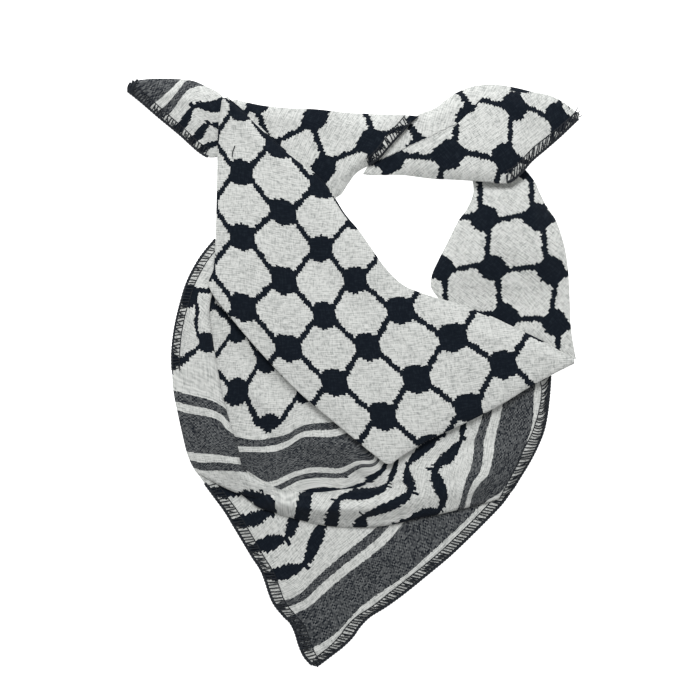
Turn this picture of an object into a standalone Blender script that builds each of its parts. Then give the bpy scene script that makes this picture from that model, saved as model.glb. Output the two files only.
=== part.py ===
"""A small woven cotton keffiyeh bandana, knotted into a neck loop and laid flat on a surface.

The cloth is seen from above: +X is right, +Y runs up to the two tails, +Z points away from the surface.
The origin is on the surface, under the middle of the bandana's outline. Every table is in millimetres.

Each stretch of cloth that shows is one object, lofted through a table of sections. A section crosses its
stretch from edge a to edge b. Folded stretches share one rounded solid for their hidden layers, with the
layers showing at the fold edges. Single layers are walls of one cloth thickness.
"""

from collections import namedtuple

import bpy
import numpy as np
from mathutils import Vector

MM = 0.001
SHARP_ANGLE = np.radians(50)
CLOTH = 1.3
SEAM_GAP = 0.3
LAYER_PITCH = CLOTH + 0.2
GROOVE_DEPTH = 0.7
STEPS_BETWEEN_SECTIONS = 3

# Heights above the surface that the stretches share where they cross.
ON_POINT = CLOTH + SEAM_GAP
TUCKED_TOP = 4.4
BAND_BASE = TUCKED_TOP + SEAM_GAP
TUCKED_END = 3.4
TAIL_BASE = TUCKED_END + SEAM_GAP

# The crown of a folded stretch is a superellipse across it, and its underside may step between two shares.
CROWN_FLATNESS = 3.0
CROWN_SOFTNESS = 0.8
STEP_FROM = 0.35
STEP_TO = 0.70
UNDERSIDE_POINTS = 4
CROWN_SAMPLES = (0.03, 0.08, 0.16, 0.28, 0.42, 0.58, 0.72, 0.84, 0.92, 0.97)

# Two layers show at a fold. Their stack takes at most this share of the stretch's rise.
RIGHT_TAIL_LAYERS = 2
STACK_SHARE = 0.75

WHITE = (0.75, 0.76, 0.74, 1.0)
GREY = (0.20, 0.21, 0.23, 1.0)
COTTON_ROUGHNESS = 0.9

# A folded section: edge a and edge b in plan, the underside's height at each, and the crown's rise above it.
Fold = namedtuple("Fold", "ax ay bx by base_a base_b rise")

# The panel from the gather at the top left, across the throat, to the fold at the right.
FRONT_BAND = [
    Fold(-74.0, 152.5, -71.0, 154.5, BAND_BASE, BAND_BASE, 3.4),
    Fold(-76.0, 136.5, -60.0, 145.0, BAND_BASE, BAND_BASE, 4.6),
    Fold(-76.5, 117.0, -40.5, 126.5, BAND_BASE, BAND_BASE, 5.2),
    Fold(-77.0, 94.5, -18.0, 108.0, BAND_BASE, BAND_BASE, 5.4),
    Fold(-77.5, 75.0, -5.5, 89.5, BAND_BASE, BAND_BASE, 5.4),
    Fold(-78.5, 59.0, 2.0, 80.5, BAND_BASE, BAND_BASE, 5.2),
    Fold(-81.0, 48.0, 8.5, 71.5, BAND_BASE, BAND_BASE, 5.0),
    Fold(-68.5, 30.5, 16.5, 60.0, BAND_BASE, BAND_BASE, 5.0),
    Fold(-50.0, 9.0, 26.5, 50.0, BAND_BASE, BAND_BASE, 5.2),
    Fold(-30.5, -11.0, 39.0, 44.5, BAND_BASE, BAND_BASE, 5.4),
    Fold(-5.5, -32.0, 52.5, 40.5, BAND_BASE, BAND_BASE, 5.4),
    Fold(11.0, -45.5, 60.0, 38.5, BAND_BASE, BAND_BASE, 5.2),
    Fold(19.0, -50.5, 64.5, 36.5, BAND_BASE, BAND_BASE, 5.2),
    Fold(26.5, -46.0, 69.0, 35.0, BAND_BASE, BAND_BASE, 5.2),
    Fold(42.5, -36.5, 77.5, 31.5, BAND_BASE, BAND_BASE, 5.4),
    Fold(60.0, -28.5, 87.0, 27.0, BAND_BASE, BAND_BASE, 5.4),
    Fold(81.5, -17.5, 98.5, 21.5, BAND_BASE, BAND_BASE, 5.2),
    Fold(96.0, -8.5, 106.5, 17.5, BAND_BASE, BAND_BASE, 4.8),
    Fold(110.5, -0.5, 115.0, 12.5, BAND_BASE, BAND_BASE, 4.0),
    Fold(122.5, 5.5, 122.5, 8.5, BAND_BASE, BAND_BASE, 3.2),
]

# The side of the loop, from under the right tail down to the fold that it shares with the front band.
RIGHT_BAND = [
    Fold(64.5, 114.0, 92.5, 117.5, 0.0, 0.0, TUCKED_END),
    Fold(66.5, 105.0, 100.5, 108.0, 0.0, 0.0, TUCKED_END - 0.4),
    Fold(66.0, 99.5, 103.5, 101.5, 0.0, 0.0, 6.4),
    Fold(63.0, 92.5, 107.0, 94.5, 0.0, 0.0, 8.0),
    Fold(57.5, 84.5, 113.0, 85.0, 0.0, 0.0, 8.6),
    Fold(52.0, 73.5, 117.0, 73.0, 0.0, 0.0, 8.8),
    Fold(47.0, 63.5, 119.0, 62.5, 0.0, 0.0, 8.4),
    Fold(43.0, 54.0, 120.0, 50.5, 0.0, 0.0, 6.6),
    Fold(44.0, 46.0, 120.5, 39.0, 0.0, 0.0, TUCKED_TOP),
    Fold(56.0, 35.0, 121.0, 26.5, 0.0, 0.0, TUCKED_TOP),
    Fold(82.0, 24.0, 122.5, 16.0, 0.0, 0.0, TUCKED_TOP),
    Fold(113.0, 11.0, 124.0, 8.0, 0.0, 0.0, 3.2),
]

# The back of the loop, from under the front band to its sewn end, which lies on the right tail.
TOP_BAND = [
    Fold(-71.0, 147.0, -67.5, 153.5, 0.0, 0.0, TUCKED_TOP - 0.6),
    Fold(-61.0, 137.5, -52.0, 150.0, 0.0, 0.0, TUCKED_TOP),
    Fold(-46.5, 123.0, -37.0, 148.5, 0.0, 0.0, TUCKED_TOP),
    Fold(-29.5, 107.5, -24.0, 148.0, 0.0, 0.0, TUCKED_TOP),
    Fold(-17.0, 97.5, -13.5, 147.0, 0.0, 0.0, TUCKED_TOP),
    Fold(-8.5, 99.5, -5.5, 146.0, 0.0, 0.0, 6.2),
    Fold(-4.0, 105.5, 4.0, 145.5, 0.0, 0.0, 7.4),
    Fold(1.5, 112.5, 13.5, 145.0, 0.6, 0.6, 7.4),
    Fold(8.5, 119.0, 23.0, 144.5, TAIL_BASE, TAIL_BASE, 4.0),
    Fold(16.5, 129.0, 29.5, 144.0, TAIL_BASE, TAIL_BASE, 2.6),
    Fold(27.0, 141.5, 34.5, 144.0, TAIL_BASE, TAIL_BASE, 1.6),
]

# The folded tail at the right, from its end under the top band to its tip.
RIGHT_TAIL = [
    Fold(4.5, 111.5, 17.0, 131.0, 0.0, 0.0, TUCKED_END - 0.6),
    Fold(9.5, 111.0, 25.5, 139.0, 0.0, 0.0, TUCKED_END),
    Fold(16.0, 111.0, 36.0, 145.0, 0.0, 0.0, TUCKED_END),
    Fold(27.0, 111.0, 45.0, 148.5, 0.0, 0.0, 7.4),
    Fold(43.0, 109.0, 53.5, 155.0, 0.6, 0.0, 9.0),
    Fold(59.0, 108.0, 62.5, 159.5, TAIL_BASE, 0.0, 8.4),
    Fold(73.0, 107.0, 71.0, 161.5, TAIL_BASE, 0.0, 8.0),
    Fold(85.0, 106.0, 80.0, 161.5, TAIL_BASE, 0.0, 7.4),
    Fold(92.0, 110.5, 89.5, 160.0, TAIL_BASE, 0.0, 6.6),
    Fold(98.5, 118.0, 100.0, 157.5, TAIL_BASE, 0.0, 5.6),
    Fold(106.0, 124.5, 109.5, 155.5, 2.4, 0.0, 4.6),
    Fold(114.5, 132.0, 118.0, 151.0, 1.2, 0.0, 3.8),
    Fold(125.0, 142.0, 126.0, 145.0, 0.4, 0.0, 3.0),
]

# How far across the right tail its upper layer reaches, at each of the tail's sections from the third on.
# It starts just inside edge a.
FLAP_FIRST_SECTION = 2
FLAP_START = 0.03
FLAP_POINTS = 9
FLAP_CLEARANCE = 1.5 * SEAM_GAP
FLAP_REACH = [0.34, 0.37, 0.50, 0.68, 0.86, 0.93, 0.95, 0.95, 0.95, 0.95, 0.95]

# The short folded tail at the top left, from its tip to where it goes under the front band.
LEFT_TAIL = [
    Fold(-127.0, 158.0, -123.5, 164.0, 0.0, 0.0, 3.0),
    Fold(-120.0, 152.5, -113.5, 165.0, 0.0, 0.0, 3.6),
    Fold(-109.0, 143.0, -102.0, 165.0, 0.0, 0.0, 4.6),
    Fold(-97.5, 133.5, -91.0, 164.0, 0.0, 0.0, 6.0),
    Fold(-87.5, 124.5, -82.5, 160.5, 0.0, 0.0, 6.6),
    Fold(-81.0, 121.0, -77.5, 156.0, 0.0, 0.0, TUCKED_TOP),
    Fold(-73.5, 122.0, -73.0, 146.0, 0.0, 0.0, TUCKED_TOP),
]

# A section of the bib's upper cloth: five points in plan from its lower lip to the end tucked under the front
# band, then the heights of its top at the lip, roll, valley, field, the front band's edge and the tuck.
Drape = namedtuple("Drape", "ax ay bx by cx cy dx dy ex ey lip roll valley field edge tuck")
DRAPE_PLAN_AT = (0.0, 0.25, 0.5, 0.75, 1.0)
DRAPE_HEIGHT_AT = (0.0, 0.1, 0.27, 0.5, 0.75, 1.0)
DRAPE = [
    Drape(-89.5, -55.0, -98.5, -25.0, -102.0, 13.0, -93.0, 50.5, -78.5, 74.0, 3.0, 3.0, 2.6, 1.4, 1.4, 1.4),
    Drape(-87.0, -57.0, -95.0, -27.0, -99.5, 12.0, -91.0, 47.0, -76.0, 92.0, 3.8, 5.6, 6.0, 2.4, 1.6, 4.0),
    Drape(-82.0, -58.5, -88.0, -29.0, -91.5, 10.0, -85.0, 45.5, -72.0, 112.5, 4.0, 8.0, 9.6, 5.0, 2.4, 4.0),
    Drape(-74.0, -63.0, -77.5, -33.0, -79.0, 6.5, -75.0, 49.5, -62.5, 124.0, 4.2, 9.0, 10.6, 6.6, 3.6, 4.0),
    Drape(-64.0, -69.5, -66.5, -37.0, -68.0, -2.5, -64.0, 34.5, -45.0, 110.0, 4.2, 8.8, 8.4, 5.0, 4.0, 4.2),
    Drape(-52.0, -76.0, -54.0, -46.0, -57.0, -15.0, -52.0, 20.0, -25.0, 92.0, 4.2, 10.0, 5.2, 4.6, 4.2, 4.2),
    Drape(-30.5, -82.5, -34.0, -56.5, -35.5, -31.5, -30.0, -1.5, -7.0, 74.0, 4.4, 10.6, 5.4, 4.5, 4.2, 4.2),
    Drape(-5.5, -86.0, -8.0, -64.0, -10.0, -44.0, -4.0, -18.0, 8.0, 52.0, 4.4, 11.0, 7.0, 4.5, 4.2, 4.2),
    Drape(19.0, -85.0, 18.0, -69.5, 17.0, -55.0, 20.0, -35.0, 30.0, 34.0, 4.4, 9.5, 8.5, 4.3, 4.2, 4.2),
    Drape(42.5, -82.0, 46.0, -64.0, 44.0, -46.0, 40.5, -25.0, 54.0, 27.5, 4.2, 9.0, 8.0, 4.4, 4.2, 4.2),
    Drape(62.5, -76.5, 71.5, -53.0, 68.5, -34.0, 63.5, -13.5, 76.0, 19.5, 3.8, 7.0, 6.0, 4.3, 4.2, 4.2),
    Drape(80.0, -71.0, 90.0, -48.0, 93.0, -28.5, 87.0, -8.0, 97.0, 9.0, 3.2, 4.6, 4.2, 3.2, 3.2, 4.0),
    Drape(88.0, -65.0, 102.0, -40.0, 108.5, -19.5, 109.0, -6.5, 108.0, 2.0, 3.0, 3.0, 1.8, 1.4, 1.4, 1.4),
]
DRAPE_SAMPLES = (0.008, 0.03, 0.06, 0.1, 0.16, 0.24, 0.34, 0.44, 0.54, 0.64, 0.76, 0.88, 1.0)
LIP_INSET = 0.012
# Where the bottom cloth ends under the drape, as a share of the way from the lip to the tuck.
POINT_TUCK = 0.14
POINT_CLEAR = 0.165
FLOOR_FROM = 0.19

# The bottom point's sewn edges, left leg down to the corner and right leg back up.
POINT_EDGE = [
    (-88.0, -57.0),
    (-81.0, -66.5),
    (-72.5, -77.0),
    (-62.5, -94.0),
    (-52.0, -111.0),
    (-40.0, -133.5),
    (-30.5, -152.0),
    (-24.5, -163.5),
    (-21.0, -165.0),
    (-13.5, -158.0),
    (-1.0, -147.0),
    (14.5, -131.5),
    (25.5, -124.5),
    (39.5, -113.5),
    (53.0, -102.0),
    (64.5, -91.0),
    (76.0, -80.0),
    (86.0, -67.0),
]


def cloth_material(name, colour):
    """Matt woven cotton in one colour."""
    material = bpy.data.materials.new(name)
    material.use_nodes = True
    shader = material.node_tree.nodes["Principled BSDF"]
    shader.inputs["Base Color"].default_value = colour
    shader.inputs["Roughness"].default_value = COTTON_ROUGHNESS
    shader.inputs["Metallic"].default_value = 0.0
    return material


def smooth_rows(rows, steps):
    """The rows, with steps - 1 rows between each pair, on a smooth curve through them all."""
    rows = np.array(rows, float)
    padded = np.vstack([2 * rows[0] - rows[1], rows, 2 * rows[-1] - rows[-2]])
    smooth = []
    for i in range(len(rows) - 1):
        before, start, end, after = padded[i : i + 4]
        for t in np.arange(steps) / steps:
            linear = end - before
            square = 2 * before - 5 * start + 4 * end - after
            cubic = 3 * start - before - 3 * end + after
            smooth.append(start + 0.5 * (linear * t + square * t**2 + cubic * t**3))
    smooth.append(rows[-1])
    return np.array(smooth)


def smooth_step(t):
    return t * t * (3 - 2 * t)


def add_mesh(name, vertices, faces, material, collection):
    """A smooth-shaded object from points in millimetres."""
    mesh = bpy.data.meshes.new(name)
    mesh.from_pydata([Vector(v) * MM for v in vertices], [], faces)
    mesh.materials.append(material)
    mesh.shade_smooth()
    mesh.set_sharp_from_angle(angle=SHARP_ANGLE)
    collection.objects.link(bpy.data.objects.new(name, mesh))


def loft(name, rings, material, collection):
    """One closed solid through rings that all hold the same number of points, capped at both ends."""
    count = len(rings[0])
    vertices = [point for ring in rings for point in ring]
    faces = []
    for i in range(len(rings) - 1):
        for j in range(count):
            k = (j + 1) % count
            faces.append((i * count + j, (i + 1) * count + j, (i + 1) * count + k, i * count + k))
    last = (len(rings) - 1) * count
    faces.append(tuple(range(count)))
    faces.append(tuple(last + j for j in reversed(range(count))))
    add_mesh(name, vertices, faces, material, collection)


def crown(v):
    """Height of a folded stretch above its edge stack, from 0 at both edges to 1 over the middle."""
    return (1 - abs(2 * v - 1) ** CROWN_FLATNESS) ** CROWN_SOFTNESS


def edge_layers(rise, layers):
    """Insets and heights up one fold edge: each layer bulges out, with a groove between it and the next."""
    stack = min(layers * LAYER_PITCH, STACK_SHARE * rise)
    pitch = stack / layers
    steps = [(GROOVE_DEPTH, 0.0)]
    for layer in range(layers):
        steps.append((0.0, (layer + 0.5) * pitch))
        steps.append((GROOVE_DEPTH, (layer + 1) * pitch))
    return steps


def underside(section, share):
    """Height of a folded stretch's underside: level near both edges, with one soft step between them."""
    step = smooth_step(np.clip((share - STEP_FROM) / (STEP_TO - STEP_FROM), 0.0, 1.0))
    return section.base_a + (section.base_b - section.base_a) * step


def folded_ring(section, layers_a, layers_b):
    """Ring of a folded stretch: up edge a, over the crown, down edge b and back along the underside."""
    edge_a = np.array([section.ax, section.ay])
    edge_b = np.array([section.bx, section.by])
    width = np.linalg.norm(edge_b - edge_a)
    across = (edge_b - edge_a) / width

    def point(distance, height):
        share = distance / width
        x, y = edge_a + across * distance
        return (x, y, section.base_a + (section.base_b - section.base_a) * share + height)

    side_a = edge_layers(section.rise, layers_a)
    side_b = edge_layers(section.rise, layers_b)
    ring = [point(inset, height) for inset, height in side_a]
    for v in CROWN_SAMPLES:
        edge_top = side_a[-1][1] + (side_b[-1][1] - side_a[-1][1]) * v
        distance = GROOVE_DEPTH + (width - 2 * GROOVE_DEPTH) * v
        ring.append(point(distance, edge_top + (section.rise - edge_top) * crown(v)))
    ring += [point(width - inset, height) for inset, height in reversed(side_b)]
    for share in np.linspace(STEP_TO, STEP_FROM, UNDERSIDE_POINTS):
        x, y = edge_a + across * width * share
        ring.append((x, y, underside(section, share)))
    return ring


def folded_stretch(name, table, layers_a, layers_b, material, collection):
    rows = smooth_rows(table, STEPS_BETWEEN_SECTIONS)
    rings = [folded_ring(Fold(*row), layers_a, layers_b) for row in rows]
    loft(name, rings, material, collection)


def tail_flap(name, material, collection):
    """The right tail's upper layer: a wall made from the tail's own crown points, moved up by the seam gap."""
    rows = smooth_rows(RIGHT_TAIL, STEPS_BETWEEN_SECTIONS)[FLAP_FIRST_SECTION * STEPS_BETWEEN_SECTIONS :]
    reaches = smooth_rows([[reach] for reach in FLAP_REACH], STEPS_BETWEEN_SECTIONS)[:, 0]
    rings = []
    for row, reach in zip(rows, reaches):
        section = Fold(*row)
        edge_top = edge_layers(section.rise, RIGHT_TAIL_LAYERS)[-1][1]
        under = []
        for v in np.linspace(FLAP_START, reach, FLAP_POINTS):
            x = section.ax + (section.bx - section.ax) * v
            y = section.ay + (section.by - section.ay) * v
            base = section.base_a + (section.base_b - section.base_a) * v
            under.append((x, y, base + edge_top + (section.rise - edge_top) * crown(v) + FLAP_CLEARANCE))
        over = [(x, y, z + CLOTH) for x, y, z in under]
        rings.append(over + under[::-1])
    loft(name, rings, material, collection)


def curve_at(points, places, share):
    """The point at a share of the way along a smooth curve, given its points and the shares they lie at."""
    smooth = smooth_rows(np.column_stack([places, points]), 8)
    return float(np.interp(share, smooth[:, 0], smooth[:, 1])), float(np.interp(share, smooth[:, 0], smooth[:, 2]))


def drape_rings():
    """Rings of the bib's upper cloth, and the plan curve where the bottom cloth ends beneath it."""
    rings = []
    tuck_line = []
    for row in smooth_rows(DRAPE, STEPS_BETWEEN_SECTIONS):
        section = Drape(*row)
        points = np.array(row[:10]).reshape(5, 2)
        heights = row[10:]

        def plan(v):
            return curve_at(points, DRAPE_PLAN_AT, v)

        def height(v):
            i = min(int(np.searchsorted(DRAPE_HEIGHT_AT, v, side="right")) - 1, len(heights) - 2)
            share = (v - DRAPE_HEIGHT_AT[i]) / (DRAPE_HEIGHT_AT[i + 1] - DRAPE_HEIGHT_AT[i])
            return heights[i] + (heights[i + 1] - heights[i]) * smooth_step(share)

        ring = [(*plan(LIP_INSET), ON_POINT), (*plan(0.0), (ON_POINT + section.lip) / 2)]
        ring += [(*plan(v), height(v)) for v in DRAPE_SAMPLES]
        ring.append((*plan(1.0), 0.0))
        ring.append((*plan(FLOOR_FROM), 0.0))
        ring.append((*plan(POINT_CLEAR), ON_POINT))
        rings.append(ring)
        tuck_line.append(plan(POINT_TUCK))
    return rings, tuck_line[1:-1]


def bottom_point(name, tuck_line, material, collection):
    """The bottom cloth: one flat layer whose upper end is tucked under the drape."""
    outline = POINT_EDGE + tuck_line[::-2]
    curve = bpy.data.curves.new(name, "CURVE")
    curve.dimensions = "2D"
    curve.fill_mode = "BOTH"
    curve.extrude = CLOTH / 2 * MM
    curve.materials.append(material)
    spline = curve.splines.new("POLY")
    spline.points.add(len(outline) - 1)
    for point, (x, y) in zip(spline.points, outline):
        point.co = (x * MM, y * MM, 0.0, 1.0)
    spline.use_cyclic_u = True
    flat = bpy.data.objects.new(name, curve)
    flat.location.z = CLOTH / 2 * MM
    collection.objects.link(flat)


def build():
    for existing in list(bpy.data.objects):
        bpy.data.objects.remove(existing)
    bandana = bpy.data.collections.new("Bandana")
    bpy.context.scene.collection.children.link(bandana)
    white = cloth_material("white cotton", WHITE)
    grey = cloth_material("grey striped cotton", GREY)

    folded_stretch("front_band", FRONT_BAND, 2, 2, white, bandana)
    folded_stretch("right_band", RIGHT_BAND, 2, 2, white, bandana)
    folded_stretch("top_band", TOP_BAND, 1, 2, white, bandana)
    folded_stretch("right_tail", RIGHT_TAIL, RIGHT_TAIL_LAYERS, RIGHT_TAIL_LAYERS, white, bandana)
    folded_stretch("left_tail", LEFT_TAIL, 2, 1, grey, bandana)
    tail_flap("right_tail_flap", white, bandana)
    rings, tuck_line = drape_rings()
    loft("bib_drape", rings, white, bandana)
    bottom_point("bib_point", tuck_line, grey, bandana)


build()
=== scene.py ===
"""A black and white keffiyeh bandana laid flat, dressed with woven cotton, folds and overlocked edges.

The stretches are thin shells and layered folds on the solids of the frame, in the same places. Tables are in
millimetres, or in the picture's pixels where they say so. The pattern is made by formulas in the cloth's own
flat coordinates: s runs along the striped border and t runs away from it.
"""

from collections import namedtuple
from math import pi

import bpy
import numpy as np
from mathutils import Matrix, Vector, noise


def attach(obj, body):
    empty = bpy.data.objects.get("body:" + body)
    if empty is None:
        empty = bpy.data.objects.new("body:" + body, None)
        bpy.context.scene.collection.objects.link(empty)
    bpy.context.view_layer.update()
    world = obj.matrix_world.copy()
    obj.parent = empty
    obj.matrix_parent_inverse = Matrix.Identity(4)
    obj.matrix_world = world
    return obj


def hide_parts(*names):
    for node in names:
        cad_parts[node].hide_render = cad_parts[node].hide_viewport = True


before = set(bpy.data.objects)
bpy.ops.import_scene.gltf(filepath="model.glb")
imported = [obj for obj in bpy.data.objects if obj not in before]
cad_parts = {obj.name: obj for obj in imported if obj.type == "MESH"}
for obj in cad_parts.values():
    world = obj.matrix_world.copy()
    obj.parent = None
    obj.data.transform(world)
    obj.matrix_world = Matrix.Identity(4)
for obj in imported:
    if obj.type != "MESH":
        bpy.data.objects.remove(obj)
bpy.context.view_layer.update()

MM = 0.001

# Layers, gaps and round edges, in millimetres.
CLOTH = 1.3
SEAM_GAP = 0.3
LAYER_PITCH = CLOTH + 0.2
GROOVE_DEPTH = 0.7
TUCKED_TOP = 4.4
BAND_BASE = TUCKED_TOP + SEAM_GAP
TUCKED_END = 3.4
TAIL_BASE = TUCKED_END + SEAM_GAP
ON_POINT = CLOTH + SEAM_GAP
THINNEST_WALL = 0.35
LIP_CLEARANCE = 0.1
LIP_RADIUS = 2.2
CREASE_RADIUS = 2.6
FOOT_RADIUS = 2.4
SIDE_RADIUS = 3.0

# How a fold's crown, base and layers run over its width or its height.
CROWN_FLATNESS = 3.0
CROWN_SOFTNESS = 0.8
STEP_FROM = 0.35
STEP_TO = 0.70
STACK_SHARE = 0.75
SET_BACK_SHARE = 0.3

# The angle in degrees from which an edge is drawn sharp, and how softly the pattern follows its marks.
SHARP_ANGLE = 65
PLATE_STIFFNESS = 8.0


def table(columns, *rows):
    """Rows of numbers with named columns."""
    return [columns(*row) for row in rows]


# The picture's scale, and the pixel that lies over the part's origin.
PIXEL = 0.56
ORIGIN_X = 354.5
ORIGIN_Y = 373.5

# Rows of points between two sections, and points on a fold's top, underside and each layer's edge.
STEPS = 8
TOP_POINTS = 64
UNDER_POINTS = 10
ARC_POINTS = 6

# Sections along a folded stretch: both fold edges, the rise over the base, and the base height at each edge.
Fold = namedtuple("Fold", "ax ay bx by rise base_a base_b", defaults=(0.0, 0.0))

FRONT_BAND = [Fold(*row, BAND_BASE, BAND_BASE) for row in (
    (-74, 152.5, -71, 154.5, 3.4),
    (-76, 136.5, -60, 145, 4.6),
    (-76.5, 117, -40.5, 126.5, 5.2),
    (-77, 94.5, -18, 108, 5.4),
    (-77.5, 75, -5.5, 89.5, 5.4),
    (-78.5, 59, 2, 80.5, 5.2),
    (-81, 48, 8.5, 71.5, 5),
    (-68.5, 30.5, 16.5, 60, 5),
    (-50, 9, 26.5, 50, 5.2),
    (-30.5, -11, 39, 44.5, 5.4),
    (-5.5, -32, 52.5, 40.5, 5.4),
    (11, -45.5, 60, 38.5, 5.2),
    (19, -50.5, 64.5, 36.5, 5.2),
    (26.5, -46, 69, 35, 5.2),
    (42.5, -36.5, 77.5, 31.5, 5.4),
    (60, -28.5, 87, 27, 5.4),
    (81.5, -17.5, 98.5, 21.5, 5.2),
    (96, -8.5, 106.5, 17.5, 4.8),
    (110.5, -0.5, 115, 12.5, 4),
    (122.5, 5.5, 122.5, 8.5, 3.2),
)]

RIGHT_BAND = table(
    Fold,
    (64.5, 114, 92.5, 117.5, TUCKED_END),
    (66.5, 105, 100.5, 108, TUCKED_END - 0.4),
    (66, 99.5, 103.5, 101.5, 6.4),
    (63, 92.5, 107, 94.5, 8),
    (57.5, 84.5, 113, 85, 8.6),
    (52, 73.5, 117, 73, 8.8),
    (47, 63.5, 119, 62.5, 8.4),
    (43, 54, 120, 50.5, 6.6),
    (44, 46, 120.5, 39, TUCKED_TOP),
    (56, 35, 121, 26.5, TUCKED_TOP),
    (82, 24, 122.5, 16, TUCKED_TOP),
    (113, 11, 124, 8, 3.2),
)

TOP_BAND = table(
    Fold,
    (-71, 147, -67.5, 153.5, TUCKED_TOP - 0.6),
    (-61, 137.5, -52, 150, TUCKED_TOP),
    (-46.5, 123, -37, 148.5, TUCKED_TOP),
    (-29.5, 107.5, -24, 148, TUCKED_TOP),
    (-17, 97.5, -13.5, 147, TUCKED_TOP),
    (-8.5, 99.5, -5.5, 146, 6.2),
    (-4, 105.5, 4, 145.5, 7.4),
    (1.5, 112.5, 13.5, 145, 7.4, 0.6, 0.6),
    (12.5, 119, 24, 144.5, 4, TAIL_BASE, TAIL_BASE),
    (21.5, 129, 30.5, 144.2, 2.8, TAIL_BASE, TAIL_BASE),
    (32, 140.6, 36, 143.6, 1.8, TAIL_BASE, TAIL_BASE),
)

RIGHT_TAIL = table(
    Fold,
    (4.5, 111.5, 17, 131, TUCKED_END - 0.6),
    (9.5, 111, 25.5, 139, TUCKED_END),
    (16, 111, 36, 145, TUCKED_END),
    (27, 111, 45, 148.5, 7.4),
    (43, 109, 53.5, 155, 9, 0.6),
    (59, 108, 62.5, 159.5, 8.4, TAIL_BASE),
    (73, 107, 71, 161.5, 8, TAIL_BASE),
    (85, 106, 80, 161.5, 7.4, TAIL_BASE),
    (92, 110.5, 89.5, 160, 6.6, TAIL_BASE),
    (98.5, 118, 100, 157.5, 5.6, TAIL_BASE),
    (106, 124.5, 109.5, 155.5, 4.6, 2.4),
    (114.5, 132, 118, 151, 3.8, 1.2),
    (125, 142, 126, 145, 3, 0.4),
)
FLAP_FIRST_SECTION = 2
FLAP_START = 0.004
FLAP_POINTS = 40
FLAP_CLEARANCE = 1.5 * SEAM_GAP
FLAP_EDGE_DROP = 0.7
FLAP_EDGE_WIDTH = 1.6
FLAP_REACH = [0.34, 0.37, 0.50, 0.68, 0.86, 0.93, 0.95, 0.95, 0.95, 0.95, 0.95]

LEFT_TAIL = table(
    Fold,
    (-127, 158, -123.5, 164, 3),
    (-120, 152.5, -113.5, 165, 3.6),
    (-109, 143, -102, 165, 4.6),
    (-97.5, 133.5, -91, 164, 6),
    (-87.5, 124.5, -82.5, 160.5, 6.6),
    (-81, 121, -76.5, 157.5, TUCKED_TOP),
    (-73.5, 122, -70.5, 152, TUCKED_TOP),
)

# The bib's upper cloth from left to right, in pixels: lower lip, valley, field, front band's edge and tuck.
# Heights follow in millimetres: the lip, the roll below the valley, the valley, the field and the edge.
Hang = namedtuple("Hang", "lx ly vx vy fx fy ex ey tx ty lip roll valley field edge")
HANG_AT = (0.0, 0.3, 0.5, 0.8, 1.0)
HANG_HEIGHT_AT = (0.0, 0.17, 0.27, 0.3, 0.5, 0.8, 0.88)
VALLEY_AT = 0.3
SHOULDER_SHARE = 0.55
NEAR_LIP = (0.0, 0.002, 0.006, 0.012, 0.02, 0.032)
PAST_LIP = 0.045
ROWS_BELOW_VALLEY = 26
ROWS_ABOVE_VALLEY = 60
HANG_CURVE_STEPS = 12
HANG_FADE = 8.0
HANG_FADE_STOP = 0.85
HANG_FADE_SHARE = 0.1
EDGE_CLEARANCE = 0.3
HANG = table(
    Hang,
    (228, 484, 236, 464, 216, 422, 200, 345, 205, 262, 2.4, 2.6, 2.2, 1.8, 1.8),
    (246, 498, 256, 478, 236, 433, 219, 345, 228, 282, 3, 3.6, 2.4, 1.8, 2),
    (258, 507, 268, 484, 250, 440, 236, 355, 246, 300, 4, 6.4, 2.2, 1.9, 3),
    (270, 511, 283, 490, 268, 446, 256, 368, 266, 322, 4.4, 9, 2, 2.4, 3.9),
    (293, 518, 303, 492, 294, 445, 286, 392, 294, 350, 4.4, 10, 1.9, 3, 4.3),
    (322, 525, 322, 492, 318, 450, 316, 414, 322, 376, 4.2, 10.8, 1.9, 3.6, 4.3),
    (345, 527, 345, 489, 343, 455, 342, 435, 350, 398, 4.2, 11, 1.9, 3.9, 4.3),
    (370, 527, 366, 487, 368, 470, 370, 458, 376, 425, 4.2, 10.6, 2.4, 4, 4.3),
    (395, 524, 390, 485, 391, 472, 392, 464, 398, 438, 4.2, 8.6, 5, 3.8, 4.2),
    (418, 518, 413, 481, 411, 466, 412, 454, 418, 424, 4.2, 8.2, 6.2, 4.2, 4.2),
    (440, 514, 436, 476, 434, 456, 435, 440, 440, 410, 4.2, 8.4, 7.2, 4.2, 4.2),
    (465, 508, 464, 469, 462, 447, 463, 427, 468, 398, 4, 7.4, 7, 4.2, 4.2),
    (482, 504, 493, 460, 497, 436, 499, 410, 501, 380, 3.6, 6.4, 6.2, 4.2, 4.2),
    (498, 499, 519, 458, 524, 430, 528, 392, 524, 366, 3.2, 4.8, 4.8, 4.2, 3.6),
    (508, 493, 531, 455, 539, 430, 542, 390, 538, 362, 2.8, 3.4, 3.2, 3, 2.8),
    (512, 490, 533, 455, 545, 424, 550, 378, 547, 358, 2.4, 2.6, 2.4, 2.2, 2),
)

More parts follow.
